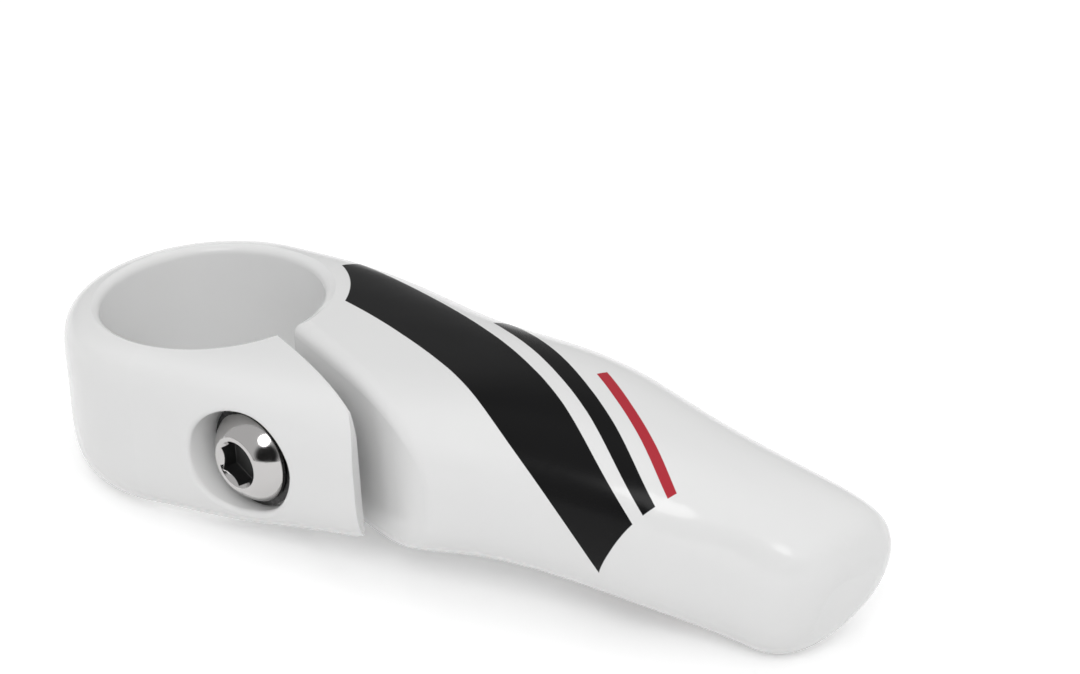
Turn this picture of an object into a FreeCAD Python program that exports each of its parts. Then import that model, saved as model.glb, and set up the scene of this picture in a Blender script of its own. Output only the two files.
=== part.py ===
import FreeCAD, Part
import math
import os

V = FreeCAD.Vector

# Clamp ring. Z is the bar's axis and Z = 0 is the middle of the ring.
bar_diameter = 22.2
ring_wall = 3.7
ring_width = 17.5
bore_edge_radius = 0.9
bore_flare = 65.0
bore_mouth_depth = 1.1

# Arm: a rounded section carried along a path that leaves the ring at this turn about Z.
arm_turn = 12.0
arm_length = 68.0
tip_edge_radius = 4.5
tip_skew = 0.3  # how far the tip's near side falls back, per unit of width

# Slit between the tab and the arm. It starts at the bore wall, just below the X axis.
slit_gap = 2.4
slit_start = -11.0
slit_turn = -18.0
arm_lip_radius = 1.5

# Past the bolt, the slit's wall on the arm bends round towards the arm's near side.
shoulder_start = 19.5
shoulder_radius = 20.0
shoulder_bend = 45.0

# Tab: the part of the ring that the slit frees. Its end is undercut, so it shows a clean edge.
tab_length = 16.8
tab_end_turn = -62.0
tab_corner_radius = 5.0
tab_edge_radius = 0.2

# Clamp bolt: its axis runs along Y and its head faces -Y. A washer lies under the head.
bolt_diameter = 5.0
bolt_length = 16.0
bolt_height = -0.25
bolt_wall = 1.4
bolt_tip_chamfer = 0.6
head_diameter = 9.0
head_edge = 0.5
head_height = 2.3
head_flat_diameter = 5.6
socket_across = 4.0
socket_depth = 1.9
washer_overhang = 0.6
washer_thickness = 0.8

# Recess and holes for the bolt. The recess floor is this far inside the ring's outer radius.
recess_depth = 5.8
recess_clearance = 0.3
recess_edge_radius = 0.4
hole_clearance = 0.3
thread_clearance = 0.05
blind_extra = 1.5

bore_radius = bar_diameter / 2
ring_radius = bore_radius + ring_wall
half_width = ring_width / 2
bolt_radius = bolt_diameter / 2
bolt_x = bore_radius + bolt_wall + bolt_radius
head_radius = head_diameter / 2
washer_radius = head_radius + washer_overhang
recess_radius = washer_radius + recess_clearance
recess_floor = recess_depth - ring_radius
head_seat = recess_floor - washer_thickness
bolt_end = head_seat + bolt_length
tall = 3 * ring_width
section_points = 24
touch = 1e-3  # points this close to a surface lie on it

# Stations of the arm. Distance along it and height of the section's middle are shares of the
# arm's length, the far and near half widths are shares of the ring's outer radius, and the half
# height is a share of the ring's. The last two give the squareness of the upper and lower halves.
arm_shares = [
    (0.00, 0.000, 1.000, 1.000, 1.000, 7.5, 6.0),
    (0.06, 0.000, 1.000, 1.000, 1.000, 7.0, 5.6),
    (0.19, 0.000, 0.973, 1.007, 1.000, 5.2, 4.4),
    (0.33, 0.000, 0.845, 0.980, 1.000, 3.7, 3.3),
    (0.49, -0.003, 0.750, 0.939, 1.000, 3.0, 2.7),
    (0.67, -0.026, 0.662, 0.764, 0.983, 2.6, 2.5),
    (0.83, -0.074, 0.595, 0.595, 0.937, 2.6, 2.3),
    (1.00, -0.143, 0.601, 0.446, 0.880, 2.7, 2.0),
]
units = (arm_length, arm_length, ring_radius, ring_radius, half_width, 1, 1)
arm_stations = [tuple(share * unit for share, unit in zip(row, units)) for row in arm_shares]


def tip_stations():
    """The last station drawn in round the tip's edge radius, ending in a small flat."""
    along, middle, far, near, half_height, upper, lower = arm_stations[-1]
    fall = (middle - arm_stations[-2][1]) / (along - arm_stations[-2][0])
    rounded = []
    for degrees in (0, 25, 48, 68, 90):
        back = tip_edge_radius * (1 - math.sin(math.radians(degrees)))
        inset = tip_edge_radius * (1 - math.cos(math.radians(degrees)))
        place = (along - back, middle - fall * back)
        rounded.append(place + (far - inset, near - inset, half_height - inset, upper, lower))
    return rounded


stations = arm_stations[:-1] + tip_stations()


def path_slope(index):
    before = stations[max(index - 1, 0)]
    after = stations[min(index + 1, len(stations) - 1)]
    return math.atan2(after[1] - before[1], after[0] - before[0])


def section(index):
    """A station's closed outline, from the top round by the far side, as a smooth curve."""
    along, middle, far, near, half_height, upper, lower = stations[index]
    slope = path_slope(index)
    skew = tip_skew if index >= len(arm_stations) - 1 else 0
    points = []
    for step in range(section_points):
        angle = math.radians(90 - step * 360 / section_points)
        across, rise = math.cos(angle), math.sin(angle)
        reach = far if across > 0 else near
        power = upper if rise > 0 else lower
        size = ((abs(across) / reach) ** power + (abs(rise) / half_height) ** power) ** (-1 / power)
        side, lift = size * across, size * rise
        forward = along + skew * side - lift * math.sin(slope)
        points.append(V(forward, side, middle + lift * math.cos(slope)))
    curve = Part.BSplineCurve()
    curve.interpolate(Points=points, PeriodicFlag=True, Parameters=list(range(section_points + 1)))
    return curve


def envelope():
    """Ring and arm as one smooth solid, before any cut."""
    wires = [Part.Wire(section(index).toShape()) for index in range(len(stations))]
    arm = Part.makeLoft(wires, True, False)
    rim = section(0).toShape(0, section_points / 2)
    axis = Part.makeLine(rim.valueAt(section_points / 2), rim.valueAt(0))
    half_ring = Part.Face(Part.Wire([rim, axis])).revolve(V(0, 0, 0), V(0, 0, 1), 180)
    shape = arm.fuse(half_ring).Solids[0]
    return shape.rotated(V(0, 0, 0), V(0, 0, 1), arm_turn)


def direction(degrees):
    return V(math.cos(math.radians(degrees)), math.sin(math.radians(degrees)), 0)


def slit_point(distance, offset, height):
    """Point at a distance along the slit from the bore wall, offset towards the arm."""
    start = direction(slit_start) * bore_radius
    return start + direction(slit_turn) * distance + direction(slit_turn + 90) * offset + V(0, 0, height)


def slit_place(point):
    """Distance along the slit and offset of a point, the other way round."""
    step = point - direction(slit_start) * bore_radius
    return step.dot(direction(slit_turn)), step.dot(direction(slit_turn + 90))


def slit_cutter(start, low):
    """What lies between a line at this offset and the arm's wall, from this distance outwards."""
    half, full = math.radians(shoulder_bend / 2), math.radians(shoulder_bend)
    bend = []
    for turn in (0, half, full):
        offset = slit_gap + shoulder_radius * (1 - math.cos(turn))
        bend.append(slit_point(shoulder_start + shoulder_radius * math.sin(turn), offset, -tall / 2))
    far = slit_point(4 * tab_length, low, -tall / 2)
    beyond = far + (bend[2] - far).dot(direction(slit_turn + 90)) * direction(slit_turn + 90)
    outline = Part.makePolygon([
        bend[2],
        beyond,
        far,
        slit_point(start, low, -tall / 2),
        slit_point(start, slit_gap, -tall / 2),
        bend[0],
    ])
    plan = Part.Wire([Part.Arc(*bend).toShape()] + outline.Edges)
    return Part.Face(plan).extrude(V(0, 0, tall))


def tab_end_cutter():
    """What lies past the tab: a slab, less the tab's own side view with its rounded corner."""
    low, high = -half_width - 1, half_width
    corner = tab_length - tab_corner_radius
    bend = tab_corner_radius * math.sqrt(0.5)
    turn = slit_point(corner, 0, high - tab_corner_radius)
    arc = Part.Arc(
        slit_point(corner, 0, high),
        turn + direction(slit_turn) * bend + V(0, 0, bend),
        slit_point(tab_length, 0, high - tab_corner_radius),
    )
    rest = Part.makePolygon([
        slit_point(tab_length, 0, high - tab_corner_radius),
        slit_point(tab_length, 0, low),
        slit_point(-tab_length, 0, low),
        slit_point(-tab_length, 0, high),
        slit_point(corner, 0, high),
    ])
    outward = direction(tab_end_turn) * 2 * ring_radius
    tab = Part.Face(Part.Wire([arc.toShape()] + rest.Edges)).extrude(outward)
    return slit_cutter(corner, -2 * ring_radius).cut(tab)


def bolt_cylinder(radius, start, end):
    return Part.makeCylinder(radius, end - start, V(bolt_x, start, bolt_height), V(0, 1, 0))


def bolt_distance(point):
    return math.hypot(point.x - bolt_x, point.z - bolt_height)


def on_arm_lip(point):
    along, offset = slit_place(point)
    turn = math.asin(min(max((along - shoulder_start) / shoulder_radius, 0), 1))
    wall = slit_gap + shoulder_radius * (1 - math.cos(turn))
    outside = math.hypot(point.x, point.y) > bore_radius + 10 * touch
    return abs(offset - wall) < touch and abs(along - shoulder_start) > touch and outside


def on_tab_face(point):
    outside = math.hypot(point.x, point.y) > bore_radius + 10 * touch
    return abs(slit_place(point)[1]) < touch and outside


def on_recess_rim(point):
    return abs(bolt_distance(point) - recess_radius) < touch and point.y < head_seat


def edges_on(shape, test):
    return [edge for edge in shape.Edges if all(test(point) for point in edge.discretize(9)[1:-1])]


def starts_at_bore(edge):
    return min(math.hypot(vertex.X, vertex.Y) for vertex in edge.Vertexes) < bore_radius + 10 * touch


def bore_mouth():
    """Flared ring that eases the bore's upper rim: an arc off the wall, then straight out."""
    flare = math.radians(bore_flare)
    start = V(bore_radius, 0, half_width - bore_mouth_depth)
    turn = start + V(bore_edge_radius, 0, 0)
    half = turn + V(-math.cos(flare / 2), 0, math.sin(flare / 2)) * bore_edge_radius
    end = turn + V(-math.cos(flare), 0, math.sin(flare)) * bore_edge_radius
    out = end + V(math.sin(flare), 0, math.cos(flare)) * ring_wall
    rest = Part.makePolygon([end, out, V(0, 0, out.z), V(0, 0, start.z), start])
    profile = Part.Face(Part.Wire([Part.Arc(start, half, end).toShape()] + rest.Edges))
    return profile.revolve(V(0, 0, 0), V(0, 0, 1), 360)


def body():
    shape = envelope()
    shape = shape.cut(Part.makeCylinder(bore_radius, tall, V(0, 0, -tall / 2)))
    slit = slit_cutter(-bore_radius / 2, 0)
    shape = shape.cut(slit.fuse(tab_end_cutter()).removeSplitter())
    shape = shape.makeFillet(arm_lip_radius, edges_on(shape, on_arm_lip))
    tab_edges = [edge for edge in edges_on(shape, on_tab_face) if starts_at_bore(edge)]
    shape = shape.makeFillet(tab_edge_radius, tab_edges)
    mouth = bore_mouth()
    shape = shape.cut(mouth).cut(mouth.mirror(V(0, 0, 0), V(0, 0, 1)))
    slit_y = slit_point(bolt_x - bore_radius, slit_gap / 2, 0).y
    shape = shape.cut(bolt_cylinder(recess_radius, -3 * ring_radius, recess_floor))
    shape = shape.cut(bolt_cylinder(bolt_radius + hole_clearance, -2 * ring_radius, slit_y))
    shape = shape.cut(bolt_cylinder(bolt_radius + thread_clearance, slit_y, bolt_end + blind_extra))
    shape = shape.makeFillet(recess_edge_radius, edges_on(shape, on_recess_rim))
    return shape.Solids[0]


def bolt_point(radius, outward):
    """Point of the bolt's half section, measured from under its head."""
    return V(bolt_x + radius, head_seat - outward, bolt_height)


def clamp_bolt():
    """Domed head with a hexagon socket, and a plain shank in place of the thread."""
    flat = head_flat_diameter / 2
    rise = head_height - head_edge
    centre = (head_edge + head_height - (head_radius ** 2 - flat ** 2) / rise) / 2
    middle = (head_radius + flat) / 2
    dome = centre + math.sqrt(head_radius ** 2 + (head_edge - centre) ** 2 - middle ** 2)
    arc = Part.Arc(
        bolt_point(head_radius, head_edge),
        bolt_point(middle, dome),
        bolt_point(flat, head_height),
    )
    rest = Part.makePolygon([
        bolt_point(flat, head_height),
        bolt_point(0, head_height),
        bolt_point(0, -bolt_length),
        bolt_point(bolt_radius - bolt_tip_chamfer, -bolt_length),
        bolt_point(bolt_radius, bolt_tip_chamfer - bolt_length),
        bolt_point(bolt_radius, 0),
        bolt_point(head_radius, 0),
        bolt_point(head_radius, head_edge),
    ])
    half_section = Part.Face(Part.Wire([arc.toShape()] + rest.Edges))
    turned = half_section.revolve(bolt_point(0, 0), V(0, 1, 0), 360)
    return turned.cut(hex_socket())


def hex_socket():
    corner = socket_across / math.sqrt(3)
    floor = head_seat - head_height + socket_depth
    outline = []
    for step in range(7):
        angle = math.radians(90 + 60 * step)
        outline.append(V(bolt_x + corner * math.cos(angle), floor, bolt_height + corner * math.sin(angle)))
    return Part.Face(Part.makePolygon(outline)).extrude(V(0, -head_height, 0))


def washer():
    ring = bolt_cylinder(washer_radius, head_seat, recess_floor)
    return ring.cut(bolt_cylinder(bolt_radius + hole_clearance, head_seat, recess_floor))


os.makedirs("parts", exist_ok=True)
for name, build in (("body", body), ("clamp_bolt", clamp_bolt), ("washer", washer)):
    shape = build()
    print(name, shape.isValid(), len(shape.Solids), round(shape.Volume, 1))
    shape.exportStep("parts/" + name + ".step")
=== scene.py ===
import math
import bpy
import bmesh
from mathutils import Matrix, Quaternion, Vector


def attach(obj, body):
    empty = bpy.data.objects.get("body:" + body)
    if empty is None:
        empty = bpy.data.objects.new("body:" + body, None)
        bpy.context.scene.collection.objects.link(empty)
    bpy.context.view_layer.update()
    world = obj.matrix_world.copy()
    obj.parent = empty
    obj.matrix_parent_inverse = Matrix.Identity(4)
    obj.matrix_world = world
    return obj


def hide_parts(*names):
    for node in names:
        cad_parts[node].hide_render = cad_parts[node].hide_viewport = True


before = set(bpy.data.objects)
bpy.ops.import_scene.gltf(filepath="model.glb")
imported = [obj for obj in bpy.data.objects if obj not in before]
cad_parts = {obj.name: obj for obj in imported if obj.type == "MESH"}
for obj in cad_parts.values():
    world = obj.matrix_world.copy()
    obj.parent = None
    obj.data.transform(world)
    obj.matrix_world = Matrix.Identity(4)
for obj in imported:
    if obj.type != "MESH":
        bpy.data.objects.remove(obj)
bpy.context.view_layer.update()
print("frame loaded:", sorted(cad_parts))

mm = 0.001


# small helpers for pieces and node trees

def addPiece(name, shape, material):
    mesh = bpy.data.meshes.new(name)
    shape.to_mesh(mesh)
    shape.free()
    mesh.materials.append(material)
    piece = bpy.data.objects.new(name, mesh)
    bpy.context.scene.collection.objects.link(piece)
    return piece


def newMaterial(name):
    material = bpy.data.materials.new(name)
    material.use_nodes = True
    tree = material.node_tree
    tree.nodes.clear()
    output = tree.nodes.new("ShaderNodeOutputMaterial")
    shader = tree.nodes.new("ShaderNodeBsdfPrincipled")
    tree.links.new(shader.outputs["BSDF"], output.inputs["Surface"])
    return material, tree, shader


def feed(tree, value, socket):
    # a socket is linked, a plain number or colour is set
    if isinstance(value, bpy.types.NodeSocket):
        tree.links.new(value, socket)
    else:
        socket.default_value = value


def calc(tree, operation, *values, clamp=False):
    node = tree.nodes.new("ShaderNodeMath")
    node.operation = operation
    node.use_clamp = clamp
    for value, socket in zip(values, node.inputs):
        feed(tree, value, socket)
    return node.outputs[0]


def span(tree, first, second):
    # straight distance made by two steps at right angles
    firstSquare = calc(tree, "MULTIPLY", first, first)
    secondSquare = calc(tree, "MULTIPLY", second, second)
    return calc(tree, "SQRT", calc(tree, "ADD", firstSquare, secondSquare))


def turned(tree, first, second, degrees):
    # how far a place lies along a line turned this much from first towards second
    turn = math.radians(degrees)
    firstShare = calc(tree, "MULTIPLY", first, math.cos(turn))
    secondShare = calc(tree, "MULTIPLY", second, math.sin(turn))
    return calc(tree, "ADD", firstShare, secondShare)


def objectCoords(tree):
    return tree.nodes.new("ShaderNodeTexCoord").outputs["Object"]


def splitXyz(tree, vector):
    node = tree.nodes.new("ShaderNodeSeparateXYZ")
    tree.links.new(vector, node.inputs[0])
    return node.outputs


def noise(tree, coords, size, detail):
    node = tree.nodes.new("ShaderNodeTexNoise")
    node.inputs["Scale"].default_value = 1 / size
    node.inputs["Detail"].default_value = detail
    tree.links.new(coords, node.inputs["Vector"])
    return node.outputs["Fac"]


noiseReach = (0.3, 0.7)  # most of the noise lies between these


def spread(tree, value, low, high):
    node = tree.nodes.new("ShaderNodeMapRange")
    tree.links.new(value, node.inputs["Value"])
    node.inputs["From Min"].default_value, node.inputs["From Max"].default_value = noiseReach
    node.inputs["To Min"].default_value = low
    node.inputs["To Max"].default_value = high
    return node.outputs["Result"]


def mixColour(tree, factor, first, second):
    node = tree.nodes.new("ShaderNodeMix")
    node.data_type = "RGBA"
    feed(tree, factor, node.inputs["Factor"])
    feed(tree, first, node.inputs["A"])
    feed(tree, second, node.inputs["B"])
    return node.outputs["Result"]


def bump(tree, height, distance, strength, normal=None):
    node = tree.nodes.new("ShaderNodeBump")
    node.inputs["Strength"].default_value = strength
    node.inputs["Distance"].default_value = distance
    tree.links.new(height, node.inputs["Height"])
    if normal is not None:
        tree.links.new(normal, node.inputs["Normal"])
    return node.outputs["Normal"]


edgeSamples = 6


def softEdge(tree, radius):
    # rounds sharp edges in the shading only
    node = tree.nodes.new("ShaderNodeBevel")
    node.samples = edgeSamples
    node.inputs["Radius"].default_value = radius
    return node.outputs["Normal"]


# white gloss paint with racing stripes that sweep over the arm's shoulder

paintLook = {
    "white": (0.83, 0.83, 0.825, 1),
    "whiteShade": (0.81, 0.812, 0.813, 1),
    "stripeBlack": (0.004, 0.004, 0.0043, 1),
    "accentRed": (0.45, 0.03, 0.045, 1),
    "clouds": (14.0 * mm, 3),  # noise size and detail, as in grain and peel
    "grain": (3.0 * mm, 4),
    "peel": (1.6 * mm, 1),
    "peelDepth": 0.004 * mm,
    "peelStrength": 1.0,
    "roughness": (0.2, 0.26),
    "specular": 0.15,
    "coat": 0.45,
    "coatRoughness": 0.06,
    "edgeRadius": 0.25 * mm,
    "armTurn": 12.0,  # degrees from +X towards +Y
    "armTop": 8.0 * mm,
    "droopStart": 30.0 * mm,
    "droop": 0.0078 / mm,  # how fast the top line bends down after droopStart
    "wrap": 0.9,  # share of the drop below the top line that counts as width
    "wrapEase": 3.0 * mm,
    "nearRamp": 4.0 * mm,
    "farTrim": 0.6 * mm,  # how far stripes reach down the far side
    "sweepCentre": (-19.1 * mm, 82.9 * mm),  # along and across
    "ringGap": 13.6 * mm,  # bare paint round the bore
    "endTurn": 28.0,  # slant of the stripes' ends
    "stripeDepth": 0.02 * mm,
    "stripeStrength": 0.4,
    "stripeEdge": 0.06 * mm,
    # inner and outer radius of the sweep, then start and end along the arm, in mm
    "blackStripes": ((92.6, 99.8, 2, 52.5), (101.4, 103.3, 21.5, 52.5)),
    "redStripes": ((104.9, 106.1, 36, 52.5),),
}


def stripePlane(tree, coords):
    # lays the arm's top and near side out flat: along runs down the arm, across grows to the near side
    look = paintLook
    x, y, z = splitXyz(tree, coords)
    along = turned(tree, x, y, look["armTurn"])
    side = turned(tree, x, y, look["armTurn"] - 90)
    beyond = calc(tree, "MAXIMUM", calc(tree, "SUBTRACT", along, look["droopStart"]), 0.0)
    fall = calc(tree, "MULTIPLY", calc(tree, "MULTIPLY", beyond, beyond), look["droop"])
    below = calc(tree, "SUBTRACT", calc(tree, "SUBTRACT", look["armTop"], fall), z)
    eased = calc(tree, "SMOOTH_MAX", below, 0.0, look["wrapEase"])
    ramp = calc(tree, "DIVIDE", side, look["nearRamp"], clamp=True)
    nearDrop = calc(tree, "MULTIPLY", calc(tree, "MULTIPLY", eased, look["wrap"]), ramp)
    drop = calc(tree, "MULTIPLY", calc(tree, "MAXIMUM", below, 0.0), look["wrap"])
    return along, calc(tree, "ADD", side, nearDrop), stripeRoom(tree, x, y, side, drop)


def stripeRoom(tree, x, y, side, drop):
    # 1 where the black stripes may lie: clear of the bore's rim and not down the far side
    look = paintLook
    fromRing = calc(tree, "SUBTRACT", span(tree, x, y), look["ringGap"])
    farDrop = calc(tree, "MULTIPLY", drop, calc(tree, "LESS_THAN", side, 0.0))
    fromTrim = calc(tree, "SUBTRACT", look["farTrim"], farDrop)
    nearest = calc(tree, "MINIMUM", fromRing, fromTrim)
    return calc(tree, "DIVIDE", nearest, look["stripeEdge"], clamp=True)


def sweepPlace(tree, along, across):
    # distance from the sweep's centre, and the way on to the slanted line that ends the stripes
    centreAlong, centreAcross = paintLook["sweepCentre"]
    forward = calc(tree, "SUBTRACT", along, centreAlong)
    inward = calc(tree, "SUBTRACT", centreAcross, across)
    return span(tree, forward, inward), turned(tree, along, across, paintLook["endTurn"])


def band(tree, value, low, high, edge):
    # 1 between low and high, with a soft edge
    inner = calc(tree, "DIVIDE", calc(tree, "SUBTRACT", value, low), edge, clamp=True)
    outer = calc(tree, "DIVIDE", calc(tree, "SUBTRACT", high, value), edge, clamp=True)
    return calc(tree, "MULTIPLY", inner, outer)


def stripeMask(tree, stripes, radius, onward):
    edge = paintLook["stripeEdge"]
    mask = None
    for inner, outer, start, end in stripes:
        wide = band(tree, radius, inner * mm, outer * mm, edge)
        stripe = calc(tree, "MULTIPLY", wide, band(tree, onward, start * mm, end * mm, edge))
        mask = stripe if mask is None else calc(tree, "MAXIMUM", mask, stripe)
    return mask


def paintMaterial():
    look = paintLook
    material, tree, shader = newMaterial("gloss_white_paint")
    coords = objectCoords(tree)
    along, across, room = stripePlane(tree, coords)
    radius, onward = sweepPlace(tree, along, across)
    black = calc(tree, "MULTIPLY", stripeMask(tree, look["blackStripes"], radius, onward), room)
    red = stripeMask(tree, look["redStripes"], radius, onward)
    printed = calc(tree, "MAXIMUM", black, red)

    clouds = noise(tree, coords, *look["clouds"])
    base = mixColour(tree, clouds, look["white"], look["whiteShade"])
    base = mixColour(tree, black, base, look["stripeBlack"])
    base = mixColour(tree, red, base, look["accentRed"])
    tree.links.new(base, shader.inputs["Base Color"])

    grain = noise(tree, coords, *look["grain"])
    tree.links.new(spread(tree, grain, *look["roughness"]), shader.inputs["Roughness"])
    shader.inputs["Specular IOR Level"].default_value = look["specular"]
    bare = calc(tree, "SUBTRACT", 1.0, printed)  # the print has no clear coat
    tree.links.new(calc(tree, "MULTIPLY", bare, look["coat"]), shader.inputs["Coat Weight"])
    shader.inputs["Coat Roughness"].default_value = look["coatRoughness"]

    soft = softEdge(tree, look["edgeRadius"])
    peel = noise(tree, coords, *look["peel"])
    peeled = bump(tree, peel, look["peelDepth"], look["peelStrength"], soft)
    raised = bump(tree, printed, look["stripeDepth"], look["stripeStrength"], peeled)
    tree.links.new(raised, shader.inputs["Normal"])
    return material


# bright plated bolt with a countersunk hexagon socket and a thread

boltLook = {
    "axis": (15.0 * mm, -0.25 * mm),  # x and z
    "seat": -9.8 * mm,  # y of the head's underside
    "headRadius": 4.5 * mm,
    "headEdge": 0.5 * mm,
    "headHeight": 2.3 * mm,
    "flatRadius": 2.8 * mm,
    "edgeCut": 0.15 * mm,
    "rimRadius": 2.42 * mm,
    "socketInner": 2.0 * mm,
    "socketDepth": 1.9 * mm,
    "drillDepth": 0.25 * mm,
    "neckRadius": 2.5 * mm,
    "neckLength": 0.9 * mm,
    "coreRadius": 2.05 * mm,
    "length": 16.0 * mm,
    "tipCut": 0.5 * mm,
    "threadRadius": 2.5 * mm,
    "threadPitch": 0.8 * mm,
    "threadShare": 0.95,  # of the pitch that the ridge's foot takes
    "threadSink": 0.1 * mm,
    "threadTurns": 17,
    "crestWidth": 0.1 * mm,
    "segments": 96,
    "domeSteps": 12,
    "mergeDistance": 0.001 * mm,
    "sharpAngle": 30.0,
    "colour": (0.52, 0.51, 0.505, 1),
    "grain": (0.8 * mm, 4),  # noise size and detail, as in pits
    "roughness": (0.07, 0.14),
    "pits": (0.35 * mm, 2),
    "pitDepth": 0.003 * mm,
    "pitStrength": 0.5,
    "edgeRadius": 0.14 * mm,
    # painted shade: darkens the inside of the hexagon socket
    "socketPaintedShade": (0.1, 0.1, 0.1, 1),
    "socketDulling": 0.35,
    "coneMargin": 0.02 * mm,
    "rimMargin": 0.06 * mm,
}


def domePoints():
    # arc from the head's edge up to its flat
    look = boltLook
    wide, flat = look["headRadius"], look["flatRadius"]
    low, high = look["headEdge"], look["headHeight"]
    centre = (low + high - (wide ** 2 - flat ** 2) / (high - low)) / 2
    radius = math.hypot(wide, low - centre)
    first = math.atan2(low - centre, wide)
    last = math.atan2(high - centre, flat)
    steps = look["domeSteps"]
    turns = [first + (last - first) * step / steps for step in range(steps + 1)]
    return [(radius * math.cos(turn), centre + radius * math.sin(turn)) for turn in turns]


def turnBolt(shape):
    look = boltLook
    core, neck = look["coreRadius"], look["neckRadius"]
    outline = [
        (0, -look["length"]),
        (core - look["tipCut"], -look["length"]),
        (core, look["tipCut"] - look["length"]),
        (core, core - neck - look["neckLength"]),
        (neck, -look["neckLength"]),
        (neck, 0),
        (look["headRadius"] - look["edgeCut"], 0),
        (look["headRadius"], look["edgeCut"]),
        *domePoints(),
        (look["rimRadius"], look["headHeight"]),
    ]
    verts = [shape.verts.new((radius, 0, height)) for radius, height in outline]
    edges = [shape.edges.new(pair) for pair in zip(verts, verts[1:])]
    bmesh.ops.spin(
        shape, geom=verts + edges, axis=(0, 0, 1), angle=2 * math.pi,
        steps=look["segments"], use_merge=True)
    bmesh.ops.remove_doubles(shape, verts=shape.verts, dist=look["mergeDistance"])


def extrudeLoop(shape, edges):
    geom = bmesh.ops.extrude_edge_only(shape, edges=edges)["geom"]
    verts = [item for item in geom if isinstance(item, bmesh.types.BMVert)]
    edges = [item for item in geom if isinstance(item, bmesh.types.BMEdge)]
    return verts, [edge for edge in edges if edge.is_boundary]


def cutSocket(shape):
    look = boltLook
    sixth = math.pi / 3
    floorHeight = look["headHeight"] - look["socketDepth"]
    verts, edges = extrudeLoop(shape, [edge for edge in shape.edges if edge.is_boundary])
    for vert in verts:  # countersink: from the round rim down to the hexagon
        turn = math.atan2(vert.co.y, vert.co.x)
        radius = look["socketInner"] / math.cos(turn - sixth * round(turn / sixth))
        height = look["headHeight"] - (look["rimRadius"] - radius)
        vert.co = (radius * math.cos(turn), radius * math.sin(turn), height)
    verts, edges = extrudeLoop(shape, edges)
    for vert in verts:  # straight walls of the hexagon
        vert.co.z = floorHeight
    verts, edges = extrudeLoop(shape, edges)
    bmesh.ops.pointmerge(shape, verts=verts, merge_co=(0, 0, floorHeight - look["drillDepth"]))


def windThread(shape):
    # one ridge wound round the core, sunk a little into it
    look = boltLook
    pitch, crest = look["threadPitch"], look["crestWidth"]
    root = look["coreRadius"] - look["threadSink"]
    start = look["tipCut"] - look["length"]
    flank = (look["threadShare"] * pitch - crest) / 2
    profile = (
        (root, start),
        (look["threadRadius"], start + flank),
        (look["threadRadius"], start + flank + crest),
        (root, start + 2 * flank + crest),
    )
    ridge = shape.faces.new([shape.verts.new((radius, 0, height)) for radius, height in profile])
    turnSteps = look["segments"] // 2
    bmesh.ops.spin(
        shape, geom=[ridge, *ridge.edges, *ridge.verts], axis=(0, 0, 1),
        dvec=(0, 0, pitch / turnSteps), angle=2 * math.pi * look["threadTurns"],
        steps=turnSteps * look["threadTurns"])


def makeBolt(material):
    look = boltLook
    shape = bmesh.new()
    turnBolt(shape)
    cutSocket(shape)
    windThread(shape)
    bmesh.ops.recalc_face_normals(shape, faces=shape.faces)
    place = Matrix.Translation((look["axis"][0], look["seat"], look["axis"][1]))
    facing = Matrix.Rotation(math.pi / 2, 4, "X")  # head towards -Y
    bmesh.ops.transform(shape, matrix=place @ facing, verts=shape.verts)
    for face in shape.faces:
        face.smooth = True
    print("bolt edges left open:", sum(not edge.is_manifold for edge in shape.edges))
    bolt = addPiece("socket_bolt", shape, material)
    bolt.data.set_sharp_from_angle(angle=math.radians(look["sharpAngle"]))
    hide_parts("clamp_bolt")
    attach(bolt, "root")


def socketMask(tree, coords):
    # 1 inside the hexagon, below its countersink: where painted shade darkens the socket and its
    # roughness rises
    look = boltLook
    x, y, z = splitXyz(tree, coords)
    across = calc(tree, "SUBTRACT", x, look["axis"][0])
    rise = calc(tree, "SUBTRACT", z, look["axis"][1])
    radius = span(tree, across, rise)
    cone = calc(tree, "ADD", y, calc(tree, "MAXIMUM", radius, look["socketInner"]))
    coneFoot = look["seat"] - look["headHeight"] + look["rimRadius"] + look["coneMargin"]
    below = calc(tree, "GREATER_THAN", cone, coneFoot)
    inside = calc(tree, "LESS_THAN", radius, look["rimRadius"] - look["rimMargin"])
    inHead = calc(tree, "LESS_THAN", y, look["seat"])
    return calc(tree, "MULTIPLY", calc(tree, "MULTIPLY", below, inside), inHead)


def boltMaterial():
    look = boltLook
    material, tree, shader = newMaterial("bright_plating")
    coords = objectCoords(tree)
    socket = socketMask(tree, coords)
    # the socket's inside is coloured dark as painted shade
    base = mixColour(tree, socket, look["colour"], look["socketPaintedShade"])
    tree.links.new(base, shader.inputs["Base Color"])
    shader.inputs["Metallic"].default_value = 1.0
    grain = spread(tree, noise(tree, coords, *look["grain"]), *look["roughness"])
    dulled = calc(tree, "ADD", grain, calc(tree, "MULTIPLY", socket, look["socketDulling"]))
    tree.links.new(dulled, shader.inputs["Roughness"])
    soft = softEdge(tree, look["edgeRadius"])
    pits = noise(tree, coords, *look["pits"])
    pitted = bump(tree, pits, look["pitDepth"], look["pitStrength"], soft)
    tree.links.new(pitted, shader.inputs["Normal"])
    return material


# duller washer under the bolt's head, its plated metal coloured near black as painted shade for the
# gap round the head

washerLook = {
    # near black: painted shade for the dark gap round the bolt's head, in place of the washer's own
    # grey
    "colour": (0.045, 0.045, 0.045, 1),
    "grain": (0.8 * mm, 4),
    "roughness": (0.22, 0.34),
    "pits": (0.35 * mm, 2),
    "pitDepth": 0.004 * mm,
    "pitStrength": 0.6,
}


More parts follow.
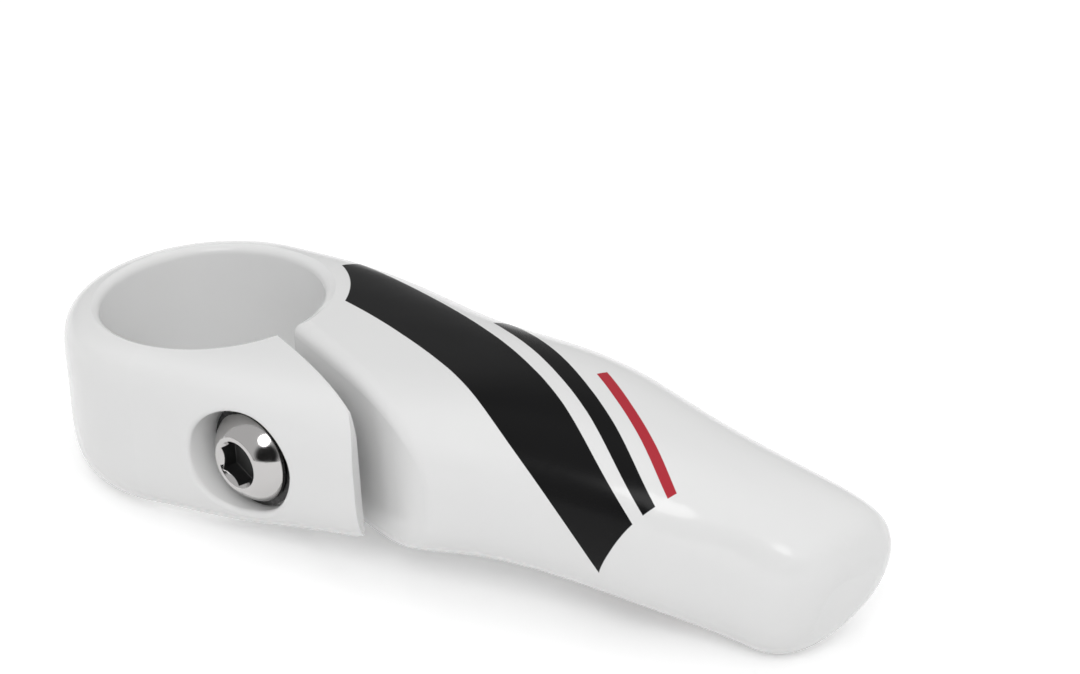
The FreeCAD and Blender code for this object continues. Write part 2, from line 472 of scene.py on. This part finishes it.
def washerMaterial():
    look = washerLook
    material, tree, shader = newMaterial("satin_plating")
    coords = objectCoords(tree)
    shader.inputs["Base Color"].default_value = look["colour"]
    shader.inputs["Metallic"].default_value = 1.0
    grain = noise(tree, coords, *look["grain"])
    tree.links.new(spread(tree, grain, *look["roughness"]), shader.inputs["Roughness"])
    pits = noise(tree, coords, *look["pits"])
    pitted = bump(tree, pits, look["pitDepth"], look["pitStrength"])
    tree.links.new(pitted, shader.inputs["Normal"])
    return material


def dress(node, material):
    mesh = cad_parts[node].data
    mesh.materials.clear()
    mesh.materials.append(material)


dress("body", paintMaterial())
makeBolt(boltMaterial())
dress("washer", washerMaterial())
print("materials on")


# floor: the ring's back edge and the tip's underside rest on it

floorLook = {
    "restPoint": (-11.3 * mm, -2.3 * mm, -8.42 * mm),
    "tilt": 5.29,  # degrees about Y, and lean about X
    "lean": -1.07,
    "size": 3.0,
    "colour": (0.9, 0.9, 0.9, 1),
    "roughness": 0.9,
    "lift": 0.3,  # glow that takes the floor to white
}


def floorMaterial():
    # camera and mirror rays see the floor lifted to white, and its shadow stays
    look = floorLook
    material, tree, shader = newMaterial("pale_floor")
    shader.inputs["Base Color"].default_value = look["colour"]
    shader.inputs["Roughness"].default_value = look["roughness"]
    shader.inputs["Specular IOR Level"].default_value = 0.0
    shader.inputs["Emission Color"].default_value = (1, 1, 1, 1)
    path = tree.nodes.new("ShaderNodeLightPath")
    seen = calc(tree, "MAXIMUM", path.outputs["Is Camera Ray"], path.outputs["Is Glossy Ray"])
    seen = calc(tree, "MAXIMUM", seen, path.outputs["Is Transmission Ray"])
    tree.links.new(calc(tree, "MULTIPLY", seen, look["lift"]), shader.inputs["Emission Strength"])
    return material


def makeFloor():
    look = floorLook
    shape = bmesh.new()
    bmesh.ops.create_grid(shape, x_segments=1, y_segments=1, size=look["size"])
    tilt = Matrix.Rotation(math.radians(look["tilt"]), 4, "Y")
    lean = Matrix.Rotation(math.radians(look["lean"]), 4, "X")
    place = Matrix.Translation(look["restPoint"])
    bmesh.ops.transform(shape, matrix=place @ tilt @ lean, verts=shape.verts)
    floor = addPiece("floor", shape, floorMaterial())


makeFloor()
print("floor laid")


# soft studio light: a white dome with two darker flags, and three softboxes

lightLook = {
    "domeStrength": 0.7,
    # edge: degrees from the flag's middle where it begins and where it is full
    "backFlag": {"towards": (-0.68, 0.56, 0.46), "edge": (46, 22), "depth": 0.45},
    "frontFlag": {"towards": (0.66, -0.73, 0.19), "edge": (30, 18), "depth": 0.97},
    "lampAim": (0.025, 0, 0),
    # name, place, width, watts, and whether gloss mirrors it
    "lamps": (
        ("overhead", (-0.12, 0.15, 0.88), 0.8, 1.1, False),
        ("front", (0.4, -0.52, 0.6), 0.4, 1.6, True),
        ("side", (0.71, -0.34, 0.4), 0.5, 0.75, False),
    ),
}


def flagShade(tree, direction, flag):
    # 1 all round, less by the flag's depth inside its cone
    dot = tree.nodes.new("ShaderNodeVectorMath")
    dot.operation = "DOT_PRODUCT"
    tree.links.new(direction, dot.inputs[0])
    dot.inputs[1].default_value = Vector(flag["towards"]).normalized()
    fade = tree.nodes.new("ShaderNodeMapRange")
    fade.interpolation_type = "SMOOTHSTEP"
    outer, inner = (math.cos(math.radians(degrees)) for degrees in flag["edge"])
    tree.links.new(dot.outputs["Value"], fade.inputs["Value"])
    fade.inputs["From Min"].default_value = outer
    fade.inputs["From Max"].default_value = inner
    fade.inputs["To Min"].default_value = 1.0
    fade.inputs["To Max"].default_value = 1 - flag["depth"]
    return fade.outputs["Result"]


def makeWorld():
    look = lightLook
    world = bpy.data.worlds.new("studio")
    world.use_nodes = True
    tree = world.node_tree
    tree.nodes.clear()
    output = tree.nodes.new("ShaderNodeOutputWorld")
    light = tree.nodes.new("ShaderNodeBackground")
    direction = tree.nodes.new("ShaderNodeTexCoord").outputs["Generated"]
    back = flagShade(tree, direction, look["backFlag"])
    front = flagShade(tree, direction, look["frontFlag"])
    dome = calc(tree, "MULTIPLY", calc(tree, "MULTIPLY", back, front), look["domeStrength"])
    tree.links.new(dome, light.inputs["Strength"])
    light.inputs["Color"].default_value = (1, 1, 1, 1)
    tree.links.new(light.outputs[0], output.inputs["Surface"])
    bpy.context.scene.world = world


def makeLamp(name, place, width, power, mirrored):
    data = bpy.data.lights.new(name, "AREA")
    data.shape = "DISK"
    data.size = width
    data.energy = power
    lamp = bpy.data.objects.new(name, data)
    lamp.location = place
    lamp.visible_glossy = mirrored  # where false the lamp only lights, so the stripes stay black
    lamp.rotation_mode = "QUATERNION"
    aim = Vector(lightLook["lampAim"]) - Vector(place)
    lamp.rotation_quaternion = aim.to_track_quat("-Z", "Y")
    bpy.context.scene.collection.objects.link(lamp)


makeWorld()
for lampSettings in lightLook["lamps"]:
    makeLamp(*lampSettings)
print("lights set")


# camera at the photograph's angle

cameraLook = {
    "place": (268.00 * mm, -231.68 * mm, 178.51 * mm),
    "azimuth": 44.0,
    "elevation": 26.61,
    "roll": 3.47,
    "lens": 133.33,
    "sensorWidth": 36.0,
    "clipStart": 0.01,
}


def makeCamera():
    look = cameraLook
    turn, rise = math.radians(look["azimuth"]), math.radians(look["elevation"])
    level = math.cos(rise)
    back = Vector((math.sin(turn) * level, -math.cos(turn) * level, math.sin(rise)))
    data = bpy.data.cameras.new("camera")
    data.lens = look["lens"]
    data.sensor_width = look["sensorWidth"]
    data.clip_start = look["clipStart"]
    camera = bpy.data.objects.new("camera", data)
    camera.location = look["place"]
    camera.rotation_mode = "QUATERNION"
    upright = (-back).to_track_quat("-Z", "Y")
    camera.rotation_quaternion = upright @ Quaternion((0, 0, 1), -math.radians(look["roll"]))
    bpy.context.scene.collection.objects.link(camera)
    bpy.context.scene.camera = camera


makeCamera()
bpy.context.scene.view_settings.view_transform = "Standard"
print("camera set")
